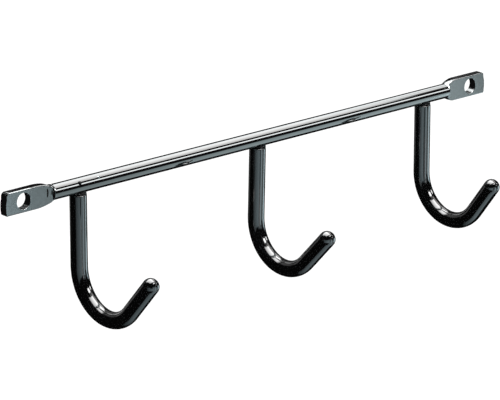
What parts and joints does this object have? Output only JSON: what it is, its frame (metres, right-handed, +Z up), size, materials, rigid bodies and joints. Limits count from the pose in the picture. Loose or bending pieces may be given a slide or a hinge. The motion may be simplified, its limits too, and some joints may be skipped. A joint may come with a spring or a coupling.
{
  "type": "wall hook rack",
  "caption": "Wall hook rack: a round steel bar with flattened, drilled ends and a row of J hooks in glossy black plastic welded under it.",
  "frame": {"origin": "on the bar's axis, midway between the two screw holes", "axes": "+X along the bar to the right as seen from the front, -Y out of the wall towards the viewer, +Z up"},
  "size_m": [0.408, 0.0783, 0.0916],
  "materials": {
    "bright_steel": "bright plated",
    "rod_steel": "drawn steel",
    "weld_steel": "dark weld metal",
    "black_coat": "glossy dip coat"
  },
  "bodies": {
    "root": {"mounting_bar": "bright_steel", "hook_rod_left": "rod_steel", "hook_rod_middle": "rod_steel", "hook_rod_right": "rod_steel", "weld_bead_left": "weld_steel", "weld_bead_middle": "weld_steel", "weld_bead_right": "weld_steel", "hook_coat_left": "black_coat", "hook_coat_middle": "black_coat", "hook_coat_right": "black_coat"}
  },
  "joints": []
}
